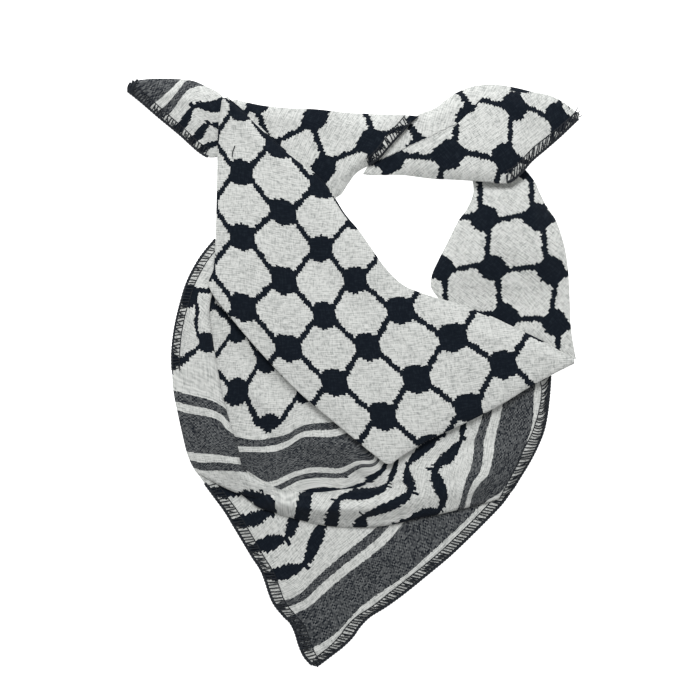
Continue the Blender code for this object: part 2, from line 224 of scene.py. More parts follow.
# The soft roll down the bib's left side, upwards, in pixels: overlocked edge, middle and right crease.
# Heights follow in millimetres at the edge, the crown and the crease.
Roll = namedtuple("Roll", "lx ly mx my rx ry low crown crease")
ROLL_AT = (0.0, 0.5, 1.0)
ROLL_CROWN_AT = 0.72
NEAR_CREASE = (0.08, 0.06, 0.04, 0.025, 0.012, 0.004, 0.0)
ROLL_COLUMNS = 40
ROLL_CURVE_STEPS = 8
ROLL_EDGE_FADE = 0.25
ROLL_CREASE_FADE = 6.0
UNDER_BAND = 3.4
LEAST_TURN = 0.6
ROLL = table(
    Roll,
    (196, 472, 232, 491, 283, 508, 2.8, 4.6, 4.4),
    (191, 463, 226, 477, 280, 493, 3, 7.6, 6.6),
    (187, 453, 218, 464, 259, 480, 3.2, 9, 7.4),
    (184, 441, 213, 449, 243, 467, 3.2, 9.4, 7.6),
    (181, 428, 210, 434, 239, 450, 3.2, 9.4, 7.4),
    (178, 414, 207, 420, 234, 433, 3, 9, 7),
    (175, 400, 203, 405, 228, 414, 3, 8.4, 6.4),
    (173, 386, 199, 389, 223, 395, 2.8, 7.6, 5.8),
    (172, 370, 196, 372, 219, 374, 2.6, 8, 6.4),
    (172, 350, 194, 352, 215, 352, 2.4, 7.6, 6.2),
    (175, 326, 194, 329, 212, 330, 2.4, 7, 5.8),
    (181, 301, 196, 305, 210, 308, 2.2, 6, 5.2),
    (188, 280, 200, 284, 214, 289, 2.2, 4.8, 4.2),
    (200, 258, 208, 262, 219, 268, 2, 4, 3.9),
    (215, 239, 220, 242, 225, 246, 1.8, 3, 3),
)

# The bottom point, from its corner up, in pixels: left overlocked edge and right overlocked edge.
Point = namedtuple("Point", "lx ly rx ry")
POINT_COLUMNS = 90
POINT_ROWS_COVERED = 3
POINT_FADE = 8.0
POINT_LIFT = 0.3
POINT = table(
    Point,
    (311.5, 664.5, 317, 666), (304, 656, 330, 656), (299, 645, 343, 646), (295, 632, 353, 636),
    (290, 622, 360, 626), (283, 615, 370, 616), (272, 600, 386, 606), (262, 572, 404, 593),
    (252, 556, 425, 576), (243, 541, 449, 556), (234, 526, 470, 536), (225, 511, 490, 516),
    (214, 496, 503, 502), (203, 481, 512, 489), (193, 467, 515, 485),
)

# Where the pattern lies: a place in pixels and the lattice's own count of cells along its two sets of lines.
Knot = namedtuple("Knot", "x y i j")
FRONT_KNOTS = table(
    Knot,
    (242, 237, 0, 0), (284, 281, 1, 0), (324, 315, 2, 0), (367, 347, 3, 0), (415, 379, 4, 0),
    (467, 408, 5, 0), (241, 173, -1, 1), (283, 213, 0, 1), (321, 249, 1, 1), (354, 280, 2, 1),
    (399, 310, 3, 1), (452, 337, 4, 1), (502, 364, 5, 1), (322, 187, 0, 2), (277, 146, -1, 2),
    (240, 110, -2, 2), (209, 139, -2, 1), (207, 205, -1, 0), (204, 269, 0, -1), (243, 307, 1, -1),
    (288, 348, 2, -1), (334, 382, 3, -1), (382, 416, 4, -1),
)
RIGHT_KNOTS = table(
    Knot,
    (484, 219, 0, 0), (536, 217, 1, 0), (440, 268, -1, 1), (491, 268, 0, 1), (551, 271, 1, 1),
    (505, 316, 0, 2), (554, 323, 1, 2),
)
TAIL_KNOTS = table(
    Knot,
    (390, 160, 0, 0), (447, 156, 1, 0), (504, 159, 2, 0), (514, 107, 2, 1), (555, 118, 3, 1),
)
BACK_KNOTS = table(
    Knot,
    (470, 119, 0, 0), (453, 73, 0, 1), (423, 153, -1, 0), (394, 98, -1, 1),
)
TOP_KNOTS = table(
    Knot,
    (323, 170, 0, 0), (315, 118, 0, 1), (370, 143, 1, 0), (267, 153, -1, 1), (366, 96, 1, 1),
)

# Where the striped border lies: a place in pixels, and the flat cloth's s and t there in millimetres.
Mark = namedtuple("Mark", "x y s t")
POINT_MARKS = table(
    Mark,
    (314, 667, 0, 0), (299, 645, 0, 15), (287, 606, 3, 36), (293, 596, 5, 42), (285, 573, 11, 57),
    (314, 544, 33, 57), (268, 543, 11, 74), (294, 517, 32, 74), (254, 519, 11, 91), (224, 495, 5, 108),
    (343, 646, 20, 3), (370, 616, 43, 3), (404, 593, 65, 3), (449, 556, 98, 3), (490, 516, 130, 3),
    (512, 490, 150, 3), (320, 585, 21, 35.5), (350, 560, 43, 35.5), (388, 527, 71, 35.5),
    (340, 557, 39, 41), (376, 527, 65, 41), (403, 523, 79, 30),
)
ROLL_MARKS = table(
    Mark,
    (196, 472, 3, 120), (190, 460, 3, 130), (186, 451, 3, 135.5), (177, 410, 5, 158),
    (176, 391, 5, 168.5), (174, 361, 4.5, 176), (189, 285, 0.75, 219.5), (187, 307, 0.75, 203.7),
    (197, 295, 7.5, 211.6), (208, 332, 22.6, 200.5), (209, 353, 22.6, 183.5), (199, 342, 15.4, 192),
    (218, 342, 29.8, 192), (212, 291, 11, 220.5), (212, 262, 4, 232), (200, 397, 16.5, 168.5),
    (230, 413, 33, 168.5), (200, 415, 16.5, 158), (220, 420, 28, 158), (234, 434, 36, 158),
    (200, 453, 12, 135.5), (220, 454, 24, 135.5), (242, 457, 37, 135.5), (200, 462, 10, 130),
    (240, 464, 35, 130), (200, 470, 9, 124), (242, 471, 35, 124), (225, 485, 21, 113),
    (262, 502, 42, 108), (283, 505, 54, 108),
)
SHARED_MARKS = table(
    Mark,
    (459, 433, 156, 57), (450, 452, 144, 57), (442, 469, 133, 57), (430, 438, 152, 74),
    (419, 452, 142, 74), (411, 467, 132, 74), (474, 440, 155, 41), (484, 440, 156, 35.5),
    (495, 440, 157, 30), (527, 440, 161, 10), (547, 416, 174, 2), (550, 376, 196, 2),
    (533, 400, 182, 10), (482, 415, 168, 41), (501, 412, 172, 30), (532, 456, 154, 2),
    (513, 488, 134, 2), (418, 522, 92, 57), (428, 512, 102, 57), (437, 502, 111, 57),
    (440, 486, 122, 57), (455, 512, 116, 41), (463, 510, 119, 35.5), (470, 507, 122, 29),
    (485, 503, 126, 9), (500, 497, 130, 7), (467, 475, 138, 41), (477, 475, 139, 35.5),
    (487, 475, 140, 30), (520, 470, 146, 6),
)
FIELD_MARKS = SHARED_MARKS + table(
    Mark,
    (238, 390, 66.3, 192), (265, 360, 88.2, 211.6), (240, 328, 66.3, 231.2), (308, 388, 110, 192),
    (270, 424, 88.2, 175), (235, 436, 70, 168.5), (260, 440, 84, 168.5), (290, 433, 101, 168.5),
    (315, 423, 117, 168.5), (340, 420, 131, 168.5), (239, 452, 71, 158), (260, 452, 84, 158),
    (300, 438, 107, 158), (345, 433, 133, 158), (245, 470, 73, 135.5), (268, 482, 86, 135.5),
    (300, 470, 106, 135.5), (340, 468, 128, 135.5), (373, 460, 138, 135.5), (280, 490, 93, 124),
    (300, 480, 106, 124), (345, 477, 124, 124), (363, 467, 132, 124), (328, 490, 96, 108),
    (356, 484, 107, 108), (388, 478, 114, 91), (384, 456, 128, 118),
)
COWL_MARKS = SHARED_MARKS + table(
    Mark,
    (262, 500, 50, 110), (285, 493, 66, 114), (290, 526, 66, 108), (303, 510, 77, 108),
    (316, 494, 88, 108), (322, 531, 66, 91), (332, 517, 77, 91), (345, 501, 88, 91), (362, 493, 99, 91),
    (382, 483, 110, 91), (371, 519, 88, 74), (388, 505, 99, 74), (405, 490, 110, 74),
    (408, 479, 121, 74),
)
BLEND_FROM = (385, 0)
BLEND_TO = (425, 0)
LEFT_TAIL_MARKS = table(
    Mark,
    (128, 88, 8, 11), (180, 81, 24, 30), (160, 100, 10, 30), (185, 82, 27, 35.5), (165, 107, 12, 35.5),
    (203, 86, 34, 41), (172, 113, 13, 41), (184, 124, 13, 57), (197, 112, 21, 57), (210, 112, 28, 57),
    (221, 102, 36, 57), (200, 137, 12, 74), (207, 129, 18, 74), (221, 131, 26, 74), (206, 148, 12, 91),
    (217, 146, 18, 91),
)

# The flat pattern and its weave: places and sizes in millimetres, slopes, shares and a count of rows.
CELL_S = 43.7
CELL_T = 39.2
FIRST_KNOT_S = 22.6
FIRST_KNOT_T = 192.0
LATTICE_FROM = 171.0
LATTICE_FOOT_SLOPE = 0.6
LINE_WIDTH = 3.1
LINE_LEAVES_S = 6.6
LINE_LEAVES_T = 4.2
DOT_HALF_S = 6.8
DOT_HALF_T = 8.1
DOT_ROUNDING = 3.0
LATTICE_ROWS_UP = 12
GREY_STRIPES = ((10.0, 30.0), (35.5, 41.0), (124.0, 130.0), (135.5, 158.0), (163.0, 168.5))
LEAF_FIRST_ROW = 57.0
LEAF_ROW_PITCH = 17.0
LEAF_ROWS = 4
LEAF_LENGTH = 22.0
LEAF_HALF = 4.3
LEAF_END_HALF = 1.2
LEAF_SLOPE = 0.36
FOOT_HALF = 0.9
FOOT_FROM = 2.0
FOOT_REACH = 8.0
TOOTH = 1.15
THREAD = 0.85
RIB_PITCH = 1.15
RIB_LENGTH = 4.5
PICK_LENGTH = 4.2
SPECK_WIDTH = 0.8
SPECK_LENGTH = 2.4
SPECK_FROM = 0.62
CLOUD_SIZE = 30.0
DRIFT = 1.6
DRIFT_LENGTH = 17.0

# Overlocking: its width, pitch, cord and threads in millimetres, how much they vary, and point counts.
SERGE_WIDTH = 7.2
SERGE_PITCH = 1.9
SERGE_THREAD = 0.35
SINGLE_STITCHES = 0.7
SERGE_SLANT = 1.3
ROPE_CENTRE = 0.4
ROPE_HALF_WIDTH = 0.95
ROPE_HALF_HEIGHT = 0.85
ROPE_SUNK = 0.35
ROPE_TWIST = 0.16
ROPE_STEPS = 4
ROPE_SIDES = 9
THREAD_SIDES = 5
NEEDLE_THREAD = 0.8 * SERGE_THREAD
NEEDLE_LINE_LIFT = 0.1
STITCH_POINTS = 5
STITCH_LIFT = 0.10
STITCH_ARCH = 0.28
INWARD_STEP = 0.8

# The cloth's uneven rises, and how its creases are drawn.
BROAD_RIPPLE = 24.0
FINE_RIPPLE = 9.0
BROAD_RISE = 0.45
FINE_RISE = 0.16
CREASE_POINTS = 25
CREASE_TAPER = 0.6


def at(*places):
    """Places read in the picture's pixels, in the part's millimetres."""
    pixels = np.array(places, float)
    return np.column_stack([(pixels[:, 0] - ORIGIN_X) * PIXEL, (ORIGIN_Y - pixels[:, 1]) * PIXEL])


def smooth_rows(rows, steps):
    """The rows, with steps - 1 rows between each pair, on a smooth curve through them all."""
    rows = np.array(rows, float)
    padded = np.vstack([2 * rows[0] - rows[1], rows, 2 * rows[-1] - rows[-2]])
    smooth = []
    for i in range(len(rows) - 1):
        before, start, end, after = padded[i : i + 4]
        for t in np.arange(steps) / steps:
            linear = end - before
            square = 2 * before - 5 * start + 4 * end - after
            cubic = 3 * start - before - 3 * end + after
            smooth.append(start + 0.5 * (linear * t + square * t**2 + cubic * t**3))
    smooth.append(rows[-1])
    return np.array(smooth)


def smooth_step(t):
    t = np.clip(t, 0.0, 1.0)
    return t * t * (3 - 2 * t)


def rounded(distance, radius):
    """How far a round edge lies below its crown: 1 at the edge, and 0 from a radius inwards."""
    return 1 - np.sqrt(np.clip(1 - (1 - np.clip(distance / radius, 0, 1)) ** 2, 0, 1))


def curve_of(ends, count):
    """Points on the soft curve from the first of three places to the last, drawn to the middle one."""
    share = np.linspace(0.0, 1.0, count)
    return np.column_stack([(1 - share) ** 2, 2 * share * (1 - share), share**2]) @ ends


def run_along(points):
    """The distance along the points at each of them, from the first one."""
    return np.concatenate([[0.0], np.cumsum(np.linalg.norm(np.diff(points, axis=0), axis=1))])


def bend(squared):
    """The thin plate's own function of a squared distance."""
    return squared * np.log(squared + 1e-9)


def warp(marks):
    """A smooth map from places on the part to places on the flat cloth, through all the marks."""
    places = at(*[(mark.x, mark.y) for mark in marks])
    flat = np.array([(mark.s, mark.t) for mark in marks], float)
    count = len(places)
    plate = bend(((places[:, None] - places[None]) ** 2).sum(2)) + np.eye(count) * PLATE_STIFFNESS
    level = np.column_stack([np.ones(count), places])
    system = np.block([[plate, level], [level.T, np.zeros((3, 3))]])
    solved = np.linalg.solve(system, np.vstack([flat, np.zeros((3, 2))]))

    def cloth(points):
        points = np.asarray(points, float)
        near = bend(((points[:, None] - places[None]) ** 2).sum(2))
        return near @ solved[:count] + np.column_stack([np.ones(len(points)), points]) @ solved[count:]

    return cloth


def lattice_marks(knots):
    """Marks for knots of the lattice, far enough up the cloth to be clear of its border."""
    marks = []
    for knot in knots:
        s = FIRST_KNOT_S + CELL_S * (knot.i + knot.j) / 2
        t = FIRST_KNOT_T + CELL_T * (LATTICE_ROWS_UP + (knot.j - knot.i)) / 2
        marks.append(Mark(knot.x, knot.y, s, t))
    return marks


def ripple(points):
    """Small uneven rises of the cloth, in millimetres."""
    rises = []
    for x, y in points:
        broad = noise.noise(Vector((x / BROAD_RIPPLE, y / BROAD_RIPPLE, 3.7)))
        fine = noise.noise(Vector((x / FINE_RIPPLE, y / FINE_RIPPLE, 8.1)))
        rises.append(BROAD_RISE * broad + FINE_RISE * fine)
    return np.array(rises)


# Creases drawn: three places in pixels along each, its half width and its height in millimetres.
Crease = namedtuple("Crease", "x0 y0 x1 y1 x2 y2 width height")
FRONT_CREASES = table(
    Crease,
    (236, 116, 262, 150, 300, 178, 3, 1.4), (225, 150, 232, 190, 226, 236, 3.5, 1.1),
    (330, 206, 352, 246, 388, 288, 3, 1.3), (232, 292, 290, 352, 352, 420, 4, 1.3),
    (430, 316, 480, 334, 548, 354, 4, 1.4), (300, 250, 340, 300, 390, 340, 7, -1.1),
)
RIGHT_CREASES = table(
    Crease,
    (486, 190, 478, 220, 452, 256, 3.5, -1.9), (520, 176, 534, 220, 546, 290, 4.5, 1.4),
    (470, 232, 500, 262, 552, 300, 6, -1.3),
)
TOP_CREASES = table(
    Crease,
    (240, 112, 300, 122, 372, 128, 4, 1), (340, 182, 356, 164, 384, 142, 3, 1.1),
)
TAIL_CREASES = table(
    Crease,
    (405, 168, 450, 172, 500, 176, 4, 1), (420, 124, 446, 110, 470, 94, 4, 1.3),
    (500, 96, 530, 110, 560, 130, 6, 1.3),
)
LEFT_TAIL_CREASES = table(
    Crease,
    (150, 90, 186, 98, 222, 116, 3.5, 1.1), (176, 124, 198, 132, 220, 152, 3, -1),
)
DRAPE_CREASES = table(
    Crease,
    (242, 400, 262, 440, 300, 462, 6, -1.3), (236, 330, 262, 372, 330, 420, 5, -1.2),
    (228, 350, 250, 400, 300, 428, 5, 1.3), (300, 468, 340, 478, 380, 474, 5, -1.1),
    (300, 440, 340, 446, 372, 448, 5, 1.3), (300, 506, 350, 512, 420, 502, 4, 1.4),
    (452, 500, 486, 480, 520, 430, 5, 1.3), (470, 440, 466, 470, 452, 500, 4, -1.1),
    (505, 400, 508, 440, 496, 480, 6, -1.1),
)
ROLL_CREASES = table(
    Crease,
    (182, 390, 190, 436, 214, 474, 4, -1), (196, 310, 204, 350, 214, 392, 3.5, 1),
    (206, 404, 214, 440, 238, 480, 5, 1),
)
POINT_CREASES = table(
    Crease,
    (262, 540, 300, 580, 322, 640, 9, 1.4), (330, 560, 370, 560, 430, 545, 9, 1.1),
    (240, 515, 300, 540, 380, 535, 7, 0.8),
)


def relief(points, creases):
    """Height of the creases at places on the part, each tapered to nothing at both ends."""
    total = np.zeros(len(points))
    for row in creases:
        curve = curve_of(at((row.x0, row.y0), (row.x1, row.y1), (row.x2, row.y2)), CREASE_POINTS)
        squared = ((points[:, None] - curve[None]) ** 2).sum(2)
        taper = np.sin(pi * squared.argmin(1) / (CREASE_POINTS - 1)) ** CREASE_TAPER
        total += row.height * taper * np.exp(-squared.min(1) / row.width**2)
    return total


def add_mesh(name, vertices, faces, flat, material):
    """A smooth-shaded object from points in millimetres, with the flat cloth's coordinates in metres."""
    mesh = bpy.data.meshes.new(name)
    mesh.from_pydata((np.asarray(vertices) * MM).tolist(), [], faces)
    if flat is not None:
        layer = mesh.uv_layers.new(name="cloth")
        corner = np.empty(len(mesh.loops), dtype=np.int32)
        mesh.loops.foreach_get("vertex_index", corner)
        layer.data.foreach_set("uv", (flat[corner] * MM).astype(np.float32).ravel())
    mesh.materials.append(material)
    mesh.shade_smooth()
    mesh.set_sharp_from_angle(angle=np.radians(SHARP_ANGLE))
    piece = bpy.data.objects.new(name, mesh)
    bpy.context.scene.collection.objects.link(piece)
    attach(piece, "root")
    return piece


def crown(v):
    return (1 - abs(2 * v - 1) ** CROWN_FLATNESS) ** CROWN_SOFTNESS


def edge_profile(rise, layers, set_back):
    """Insets and heights up one fold edge: each layer is a round bulge, and the top one may be set back."""
    stack = min(layers * LAYER_PITCH, STACK_SHARE * rise)
    pitch = stack / layers
    profile = []
    for layer in range(layers):
        back = set_back if layer == layers - 1 and layers > 1 else 0.0
        for turn in np.linspace(0.0, pi, ARC_POINTS + 1):
            inset = back + GROOVE_DEPTH * (1 - np.sin(turn))
            profile.append((inset, pitch * (layer + (1 - np.cos(turn)) / 2)))
    return np.array(profile)


def folded_stretch(name, sections, layers_a, layers_b, creases, cloth, set_back=0.0):
    """One folded stretch, and its rings, each of which goes up edge a, over the crown and down edge b."""
    rings = []
    unrolled = []
    shares = 0.5 - 0.5 * np.cos(np.linspace(0.0, pi, TOP_POINTS))
    for row in smooth_rows(sections, STEPS):
        section = Fold(*row)
        edge_a = np.array([section.ax, section.ay])
        edge_b = np.array([section.bx, section.by])
        width = np.linalg.norm(edge_b - edge_a)
        across = (edge_b - edge_a) / width
        side_a = edge_profile(section.rise, layers_a, 0.0)
        side_b = edge_profile(section.rise, layers_b, min(set_back, SET_BACK_SHARE * width))[::-1]
        first, last = side_a[-1], side_b[0]
        top_d = first[0] + (width - last[0] - first[0]) * shares
        edge_top = first[1] + (last[1] - first[1]) * shares
        plan = edge_a + across * top_d[:, None]
        lift = section.rise - edge_top + relief(plan, creases) + ripple(plan)
        top_z = edge_top + lift * crown(shares)
        distance = np.concatenate([side_a[:, 0], top_d[1:-1], width - side_b[:, 0]])
        height = np.concatenate([side_a[:, 1], top_z[1:-1], side_b[:, 1]])
        base_rise = section.base_b - section.base_a
        height = height + section.base_a + base_rise * distance / width
        under = np.linspace(0.96, 0.04, UNDER_POINTS)
        under_z = section.base_a + base_rise * smooth_step((under - STEP_FROM) / (STEP_TO - STEP_FROM))
        ring_d = np.concatenate([distance, under * width])
        rings.append(np.column_stack([edge_a + across * ring_d[:, None], np.concatenate([height, under_z])]))
        flat_a = top_d[0] - run_along(side_a[::-1])[::-1]
        flat_d = [flat_a, top_d[1:-1], top_d[-1] + run_along(side_b), under * width]
        unrolled.append(edge_a + across * np.concatenate(flat_d)[:, None])
    rings = np.array(rings)
    faces = ring_faces(*rings.shape[:2])
    piece = add_mesh(name, rings.reshape(-1, 3), faces, cloth(np.concatenate(unrolled)), cotton)
    return piece, rings


def sheet_normals(grid):
    along = np.gradient(grid, axis=0)
    across = np.gradient(grid, axis=1)
    normal = np.cross(along, across)
    normal /= np.linalg.norm(normal, axis=2, keepdims=True) + 1e-12
    if normal[..., 2].mean() < 0:
        normal = -normal
    return normal


def thin_sheet(name, grid, flat):
    """One closed wall of cloth under a grid of points, never lower than what the part lies on."""
    rows, columns = grid.shape[:2]
    under = grid - sheet_normals(grid) * CLOTH
    under[..., 2] = np.maximum(under[..., 2], 0.0)
    under[..., 2] = np.minimum(under[..., 2], grid[..., 2] - THINNEST_WALL)
    count = rows * columns
    vertices = np.concatenate([grid.reshape(-1, 3), under.reshape(-1, 3)])
    faces = []
    for i in range(rows - 1):
        for j in range(columns - 1):
            corners = (i, j), (i, j + 1), (i + 1, j + 1), (i + 1, j)
            a, b, c, d = (m * columns + n for m, n in corners)
            faces.append((a, b, c, d))
            faces.append((a + count, d + count, c + count, b + count))
    index = np.arange(count).reshape(rows, columns)
    rim = list(index[0, :]) + list(index[1:, -1]) + list(index[-1, -2::-1]) + list(index[-2:0:-1, 0])
    for a, b in zip(rim, rim[1:] + rim[:1]):
        faces.append((int(b), int(a), int(a + count), int(b + count)))
    area = np.cross(grid[1, 0] - grid[0, 0], grid[0, 1] - grid[0, 0])
    if area[2] > 0:
        faces = [tuple(reversed(face)) for face in faces]
    return add_mesh(name, vertices, faces, np.concatenate([flat, flat]), cotton)


def ring_faces(rows, count):
    """Faces between rows of rings of points, with both ends closed."""
    faces = []
    for i in range(rows - 1):
        for j in range(count):
            k = (j + 1) % count
            faces.append((i * count + j, (i + 1) * count + j, (i + 1) * count + k, i * count + k))
    faces.append(tuple(range(count)))
    faces.append(tuple((rows - 1) * count + j for j in reversed(range(count))))
    return faces


def tube(points, radius, sides):
    """Vertices and faces of a round tube along points."""
    points = np.asarray(points, float)
    along = np.gradient(points, axis=0)
    along /= np.linalg.norm(along, axis=1, keepdims=True) + 1e-12
    side = np.cross(along, np.array([0.0, 0.0, 1.0]))
    upright = np.linalg.norm(side, axis=1) < 0.2
    side[upright] = np.cross(along[upright], np.array([1.0, 0.3, 0.0]))
    side /= np.linalg.norm(side, axis=1, keepdims=True)
    up = np.cross(side, along)
    turns = np.linspace(0.0, 2 * pi, sides, endpoint=False)[:, None]
    rings = points[:, None] + radius * (np.cos(turns) * side[:, None] + np.sin(turns) * up[:, None])
    return rings.reshape(-1, 3), [face[::-1] for face in ring_faces(len(points), sides)]


class Strips:
    """Narrow strips of a cloth's surface, each from its cut edge inwards, at even spacing along the edge."""

    def __init__(self, strips, pitch):
        run = run_along(strips[:, 0])
        places = np.linspace(0.0, run[-1], max(int(run[-1] / pitch), 2) + 1)
        rows, columns = len(places), strips.shape[1]
        even = np.empty((rows, columns, 3))
        for j, k in np.ndindex(columns, 3):
            even[:, j, k] = np.interp(places, run, strips[:, j, k])
        self.strips = even
        self.reach = np.array([run_along(strip) for strip in even])
        along = np.gradient(even[:, 0], axis=0)
        self.along = along / np.linalg.norm(along, axis=1, keepdims=True)

    def at(self, row, distance):
        """The place on the cloth at a distance from the edge, and the cloth's normal there."""
        row = min(max(row, 0.0), len(self.strips) - 1.001)
        first = int(row)
        share = row - first
        ends = []
        for n in (first, first + 1):
            near_and_far = (distance, distance + INWARD_STEP)
            ends.append([np.interp(near_and_far, self.reach[n], self.strips[n, :, k]) for k in range(3)])
        place, inner = (np.array(ends[0]) * (1 - share) + np.array(ends[1]) * share).T
        normal = np.cross(inner - place, self.along[first])
        normal /= np.linalg.norm(normal) + 1e-12
        return place, normal * (1.0 if normal[2] > 0 else -1.0)


def overlock(name, strips, width=SERGE_WIDTH):
    """Overlocking over a cut edge: a looped cord round the edge, slanted stitches and a needle line."""
    draw = np.random.default_rng(len(name) + len(strips))
    fine = Strips(strips, SERGE_PITCH / ROPE_STEPS)
    rope = []
    line = []
    for n in range(len(fine.strips)):
        centre, normal = fine.at(n, ROPE_CENTRE)
        inner = np.cross(fine.along[n], normal)
        for turn in np.linspace(0.0, 2 * pi, ROPE_SIDES, endpoint=False):
            twist = 1.0 + ROPE_TWIST * np.sin(2 * pi * n / ROPE_STEPS + turn)
            sideways = inner * np.cos(turn) * ROPE_HALF_WIDTH
            upwards = normal * (np.sin(turn) * ROPE_HALF_HEIGHT - ROPE_SUNK)
            rope.append(centre + (sideways + upwards) * twist)
        place, normal = fine.at(n, width)
        line.append(place + normal * NEEDLE_LINE_LIFT)
    parts = [(rope, ring_faces(len(fine.strips), ROPE_SIDES)), tube(line, NEEDLE_THREAD, THREAD_SIDES)]
    even = Strips(strips, SERGE_PITCH)
    for n in range(len(even.strips) - 1):
        slant = SERGE_SLANT / SERGE_PITCH * (1 + 0.5 * draw.uniform(-1, 1))
        reach = width * (1 + 0.06 * draw.uniform(-1, 1))
        for first, last, lean in ((0.6, reach, slant), (0.8, reach * 0.7, -0.5 * slant)):
            bar = []
            for share in np.linspace(0.0, 1.0, STITCH_POINTS):
                place, normal = even.at(n + lean * share, first + (last - first) * share)
                bar.append(place + normal * (STITCH_LIFT + STITCH_ARCH * np.sin(pi * share)))
            parts.append(tube(bar, SERGE_THREAD * (1 + 0.15 * draw.uniform(-1, 1)), THREAD_SIDES))
            if draw.uniform() < SINGLE_STITCHES:
                break
    return join_parts(name, parts)


def join_parts(name, parts):
    """One piece of thread from parts that are each their vertices and their faces."""
    vertices = []
    faces = []
    for part_vertices, part_faces in parts:
        start = len(vertices)
        vertices.extend(part_vertices)
        faces.extend(tuple(start + v for v in face) for face in part_faces)
    piece = add_mesh(name, np.array(vertices), faces, None, serge)
    return piece


class Term:
    """A number in a material's node tree, so that formulas can be written out."""

    tree = None

    def __init__(self, socket):
        self.socket = socket

    def __add__(self, other):
        return formula("ADD", self, other)

    __radd__ = __add__

    def __sub__(self, other):
        return formula("SUBTRACT", self, other)

    def __rsub__(self, other):
        return formula("SUBTRACT", other, self)

    def __mul__(self, other):
        return formula("MULTIPLY", self, other)

    __rmul__ = __mul__

    def __truediv__(self, other):
        return formula("DIVIDE", self, other)

    def __lt__(self, other):
        return formula("LESS_THAN", self, other)

    def __gt__(self, other):
        return formula("GREATER_THAN", self, other)


def plug(value, socket):
    if isinstance(value, Term):
        Term.tree.links.new(value.socket, socket)
    else:
        socket.default_value = value


def formula(operation, *values):
    node = Term.tree.nodes.new("ShaderNodeMath")
    node.operation = operation
    for value, socket in zip(values, node.inputs):
        plug(value, socket)
    return Term(node.outputs[0])


def place_at(x, y, z=0.0):
    node = Term.tree.nodes.new("ShaderNodeCombineXYZ")
    for value, socket in zip((x, y, z), node.inputs):
        plug(value, socket)
    return Term(node.outputs[0])


def noise_at(place, detail=2.0, roughness=0.5):
    """Soft noise, from 0 to 1, with one cell for each unit of the place."""
    node = Term.tree.nodes.new("ShaderNodeTexNoise")
    node.inputs["Scale"].default_value = 1.0
    node.inputs["Detail"].default_value = detail
    node.inputs["Roughness"].default_value = roughness
    plug(place, node.inputs["Vector"])
    return Term(node.outputs["Fac"])


def dice(value):
    """A random number from 0 to 1 for each value."""
    node = Term.tree.nodes.new("ShaderNodeTexWhiteNoise")
    node.noise_dimensions = "1D"
    plug(value, node.inputs["W"])
    return Term(node.outputs["Value"])


def dice_at(place):
    node = Term.tree.nodes.new("ShaderNodeTexWhiteNoise")
    node.noise_dimensions = "3D"
    plug(place, node.inputs["Vector"])
    return Term(node.outputs["Value"])


def steps_of(value, size):
    """A value rounded to the middle of its step."""
    return formula("FLOOR", value / size) * size + size / 2


def clamp(value):
    return formula("MAXIMUM", formula("MINIMUM", value, 1.0), 0.0)


def magnitude(value):
    return formula("ABSOLUTE", value)


def zigzag(value):
    """0 at even whole numbers and 1 at odd ones."""
    return formula("PINGPONG", value, 1.0)


def off_whole(value):
    """How far a value lies from the nearest whole number, with its sign."""
    return value - formula("ROUND", value)


def either(a, b):
    return formula("MAXIMUM", a, b)


def blend_colours(share, first, second):
    node = Term.tree.nodes.new("ShaderNodeMix")
    node.data_type = "RGBA"
    plug(share, node.inputs["Factor"])
    plug(first, node.inputs["A"])
    plug(second, node.inputs["B"])
    return Term(node.outputs["Result"])


WHITE_COTTON = (0.640, 0.652, 0.632, 1.0)
SHADED_COTTON = (0.300, 0.314, 0.306, 1.0)
BLACK_COTTON = (0.0032, 0.0062, 0.0115, 1.0)
WORN_BLACK = (0.014, 0.020, 0.028, 1.0)
FLECK_WHITE = (0.27, 0.28, 0.28, 1.0)
BLACK_THREAD = (0.0030, 0.0050, 0.0085, 1.0)
WORN_THREAD = (0.020, 0.025, 0.032, 1.0)

# Depths of the weave and of the thread's fibres, in metres, and how many fibres are in a metre of it.
WEAVE_DEPTH = 0.00022
FIBRE_DEPTH = 0.00015
FIBRES_A_METRE = 1400.0


def new_material(name):
    """A material and its shader, with the formulas that follow written into it."""
    material = bpy.data.materials.new(name)
    material.use_nodes = True
    Term.tree = material.node_tree
    return material, material.node_tree.nodes["Principled BSDF"]


def add_bump(shader, height, strength, distance):
    bump = Term.tree.nodes.new("ShaderNodeBump")
    bump.inputs["Strength"].default_value = strength
    bump.inputs["Distance"].default_value = distance
    plug(height, bump.inputs["Height"])
    plug(Term(bump.outputs["Normal"]), shader.inputs["Normal"])


def lattice_of(s, t):
    """The fishnet lattice: a dot at each knot, and lines from each dot's side to the next one's."""
    u = (s - FIRST_KNOT_S) / CELL_S
    v = (t - FIRST_KNOT_T) / CELL_T
    rising = off_whole(v + u)
    falling = off_whole(v - u)
    from_s = magnitude(rising - falling) * (CELL_S / 2)
    from_t = magnitude(rising + falling) * (CELL_T / 2)
    run_s, run_t = CELL_S / 2 - 2 * LINE_LEAVES_S, CELL_T / 2 - 2 * LINE_LEAVES_T
    run = np.hypot(run_s, run_t)
    off_line = (from_s - CELL_S / 4) * (run_t / run) - (from_t - CELL_T / 4) * (run_s / run)
    line = magnitude(off_line) < LINE_WIDTH / 2
    dot_share = from_s / DOT_HALF_S
    dot = (dot_share < 1.0) * (from_t + dot_share * dot_share * DOT_ROUNDING < DOT_HALF_T)
    return either(line, dot) * (t > from_s * LATTICE_FOOT_SLOPE + LATTICE_FROM)


